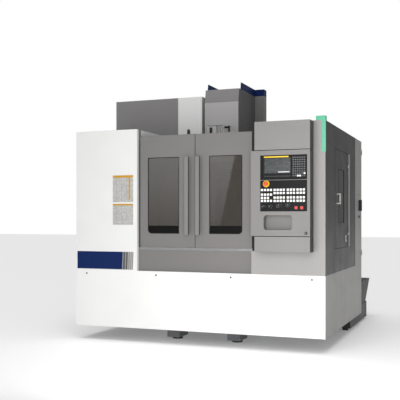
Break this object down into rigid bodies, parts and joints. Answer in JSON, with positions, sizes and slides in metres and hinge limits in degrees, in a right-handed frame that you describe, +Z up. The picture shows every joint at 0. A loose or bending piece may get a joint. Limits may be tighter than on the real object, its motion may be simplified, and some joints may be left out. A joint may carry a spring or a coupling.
{
  "type": "cnc machining center",
  "caption": "Vertical machining centre: sheet-metal enclosure with sliding front doors, swivelling console, cross-slide table, spindle head, tool magazine and coolant tank.",
  "frame": {"origin": "middle of the footprint, on the floor", "axes": "+X to the operator's right, +Y from the operator back into the machine, +Z up"},
  "size_m": [2.472, 2.901, 2.505],
  "materials": {
    "white_powder_coat": "satin powder coat, white",
    "mid_grey_powder_coat": "satin powder coat, mid grey",
    "light_grey_powder_coat": "satin powder coat, light grey",
    "charcoal_powder_coat": "satin powder coat, charcoal",
    "dusk_grey_powder_coat": "satin powder coat, dark grey",
    "navy_powder_coat": "satin powder coat, navy",
    "side_grey_powder_coat": "satin powder coat, grey",
    "casting_paint": "painted machine casting",
    "head_paint": "painted machine casting, pale",
    "ground_steel": "ground steel",
    "bright_steel": "polished stainless sheet",
    "table_iron": "ground cast iron",
    "galvanised_sheet": "zinc coated sheet",
    "foot_steel": "blackened steel",
    "motor_black": "black motor enamel",
    "handle_aluminium": "bead blasted anodised aluminium",
    "smoked_window": "smoked safety glass",
    "panel_black": "black keyboard membrane",
    "knob_black": "black plastic",
    "stop_red": "signal red plastic",
    "button_red": "red plastic",
    "lamp_green": "lit green lens",
    "magazine_metal": "machined aluminium",
    "tank_paint": "charcoal tank paint"
  },
  "bodies": {
    "frame": {"base_casting": "casting_paint", "levelling_feet": "foot_steel", "column": "casting_paint", "linear_rails": "ground_steel", "axis_motors": "motor_black", "front_skirt": "white_powder_coat", "lower_panels": "side_grey_powder_coat", "left_front_panel": "white_powder_coat", "right_front_panel": "light_grey_powder_coat", "outer_walls": "charcoal_powder_coat", "electrical_cabinet": "side_grey_powder_coat", "door_frame": "mid_grey_powder_coat", "fascia": "mid_grey_powder_coat", "sill_track": "bright_steel", "hood": "mid_grey_powder_coat", "hood_trim": "navy_powder_coat", "magazine_cover": "dusk_grey_powder_coat", "magazine_panel": "white_powder_coat", "magazine_bracket": "casting_paint", "corner_lamp": "lamp_green", "coolant_tank": "tank_paint", "chip_chute": "tank_paint", "splash_liner": "galvanised_sheet", "console_boxes": "light_grey_powder_coat"},
    "saddle": {"saddle": "casting_paint", "saddle_guides": "ground_steel", "x_axis_motor": "motor_black"},
    "way_cover": {"middle_way_cover": "galvanised_sheet"},
    "table": {"table": "table_iron"},
    "head": {"spindle_head": "head_paint", "spindle_motor": "motor_black", "booster": "head_paint"},
    "spindle": {"spindle": "ground_steel", "tool_holder": "ground_steel"},
    "x_screw": {"x_ball_screw": "ground_steel"},
    "y_screw": {"y_ball_screw": "ground_steel"},
    "z_screw": {"z_ball_screw": "ground_steel"},
    "magazine": {"tool_disc": "magazine_metal"},
    "arm": {"change_arm": "magazine_metal"},
    "left_sliding_door": {"left_door": "mid_grey_powder_coat", "left_window": "smoked_window", "left_handle": "handle_aluminium"},
    "right_sliding_door": {"right_door": "mid_grey_powder_coat", "right_window": "smoked_window", "right_handle": "handle_aluminium"},
    "right_hinged_door": {"right_side_door": "charcoal_powder_coat", "right_side_window": "smoked_window"},
    "left_hinged_door": {"left_side_door": "charcoal_powder_coat"},
    "cabinet_panel": {"cabinet_door": "side_grey_powder_coat"},
    "isolator": {"isolator_handle": "knob_black"},
    "console": {"console_body": "light_grey_powder_coat", "display_unit": "panel_black", "operator_panel": "panel_black"},
    "stop_button": {"e_stop": "stop_red"},
    "cycle_start": {"cycle_start_button": "button_red"},
    "feed_hold": {"feed_hold_button": "button_red"},
    "selector_1": {"selector_knob_1": "knob_black"},
    "selector_2": {"selector_knob_2": "knob_black"},
    "dial_1": {"override_dial_1": "knob_black"},
    "dial_2": {"override_dial_2": "knob_black"}
  },
  "joints": [
    {"name": "saddle_slide", "type": "slide", "parent": "frame", "child": "saddle", "axis": [0, 1, 0], "range_m": [-0.25, 0.25]},
    {"name": "way_cover_slide", "type": "slide", "parent": "frame", "child": "way_cover", "axis": [0, 1, 0], "range_m": [-0.125, 0.125]},
    {"name": "table_slide", "type": "slide", "parent": "saddle", "child": "table", "axis": [1, 0, 0], "range_m": [-0.4, 0.4]},
    {"name": "head_slide", "type": "slide", "parent": "frame", "child": "head", "axis": [0, 0, 1], "range_m": [-0.5, 0]},
    {"name": "spindle_spin", "type": "hinge", "parent": "head", "child": "spindle", "pos_m": [0, -0.4095, 1.56], "axis": [0, 0, 1], "continuous": true},
    {"name": "x_screw_spin", "type": "hinge", "parent": "saddle", "child": "x_screw", "pos_m": [0, -0.4095, 0.744], "axis": [1, 0, 0], "continuous": true},
    {"name": "y_screw_spin", "type": "hinge", "parent": "frame", "child": "y_screw", "pos_m": [0, -0.8895, 0.53], "axis": [0, 1, 0], "continuous": true},
    {"name": "z_screw_spin", "type": "hinge", "parent": "frame", "child": "z_screw", "pos_m": [0, 0.0555, 0.91], "axis": [0, 0, 1], "continuous": true},
    {"name": "magazine_spin", "type": "hinge", "parent": "frame", "child": "magazine", "pos_m": [-0.7, -0.4575, 1.962], "axis": [0, 1, 0], "continuous": true},
    {"name": "arm_turn", "type": "hinge", "parent": "frame", "child": "arm", "pos_m": [-0.35, -0.4095, 1.542], "axis": [0, 0, 1], "range_deg": [0, 90]},
    {"name": "left_door_slide", "type": "slide", "parent": "frame", "child": "left_sliding_door", "axis": [-1, 0, 0], "range_m": [0, 0.43]},
    {"name": "right_door_slide", "type": "slide", "parent": "frame", "child": "right_sliding_door", "axis": [1, 0, 0], "range_m": [0, 0.43]},
    {"name": "right_side_door_hinge", "type": "hinge", "parent": "frame", "child": "right_hinged_door", "pos_m": [1.206, -0.2145, 0.875], "axis": [0, 0, 1], "range_deg": [0, 90]},
    {"name": "left_side_door_hinge", "type": "hinge", "parent": "frame", "child": "left_hinged_door", "pos_m": [-1.206, -0.2145, 0.875], "axis": [0, 0, -1], "range_deg": [0, 90]},
    {"name": "cabinet_door_hinge", "type": "hinge", "parent": "frame", "child": "cabinet_panel", "pos_m": [1.206, 0.57575, 0.66], "axis": [0, 0, -1], "range_deg": [0, 110]},
    {"name": "isolator_turn", "type": "hinge", "parent": "frame", "child": "isolator", "pos_m": [1.2, 0.4155, 1.283], "axis": [1, 0, 0], "range_deg": [0, 90]},
    {"name": "console_swivel", "type": "hinge", "parent": "frame", "child": "console", "pos_m": [0.6, -1.2995, 0.996], "axis": [0, 0, -1], "range_deg": [0, 70]},
    {"name": "e_stop_press", "type": "slide", "parent": "console", "child": "stop_button", "axis": [0, 1, 0], "range_m": [0, 0.006], "stiffness_N_per_m": 400},
    {"name": "cycle_start_press", "type": "slide", "parent": "console", "child": "cycle_start", "axis": [0, 1, 0], "range_m": [0, 0.003], "stiffness_N_per_m": 300},
    {"name": "feed_hold_press", "type": "slide", "parent": "console", "child": "feed_hold", "axis": [0, 1, 0], "range_m": [0, 0.003], "stiffness_N_per_m": 300},
    {"name": "selector_1_turn", "type": "hinge", "parent": "console", "child": "selector_1", "pos_m": [0.7, -1.4225, 1.241], "axis": [0, 1, 0], "range_deg": [-45, 45]},
    {"name": "selector_2_turn", "type": "hinge", "parent": "console", "child": "selector_2", "pos_m": [0.758, -1.4225, 1.241], "axis": [0, 1, 0], "range_deg": [-45, 45]},
    {"name": "dial_1_turn", "type": "hinge", "parent": "console", "child": "dial_1", "pos_m": [0.835, -1.4225, 1.247], "axis": [0, 1, 0], "range_deg": [-120, 120]},
    {"name": "dial_2_turn", "type": "hinge", "parent": "console", "child": "dial_2", "pos_m": [0.916, -1.4225, 1.25], "axis": [0, 1, 0], "range_deg": [-120, 120]}
  ],
  "couplings": [
    {"joint": "way_cover_slide", "follows": "saddle_slide", "ratio": 0.5},
    {"joint": "y_screw_spin", "follows": "saddle_slide", "rad_per_m": 392.7},
    {"joint": "z_screw_spin", "follows": "head_slide", "rad_per_m": 392.7},
    {"joint": "x_screw_spin", "follows": "table_slide", "rad_per_m": 392.7}
  ]
}
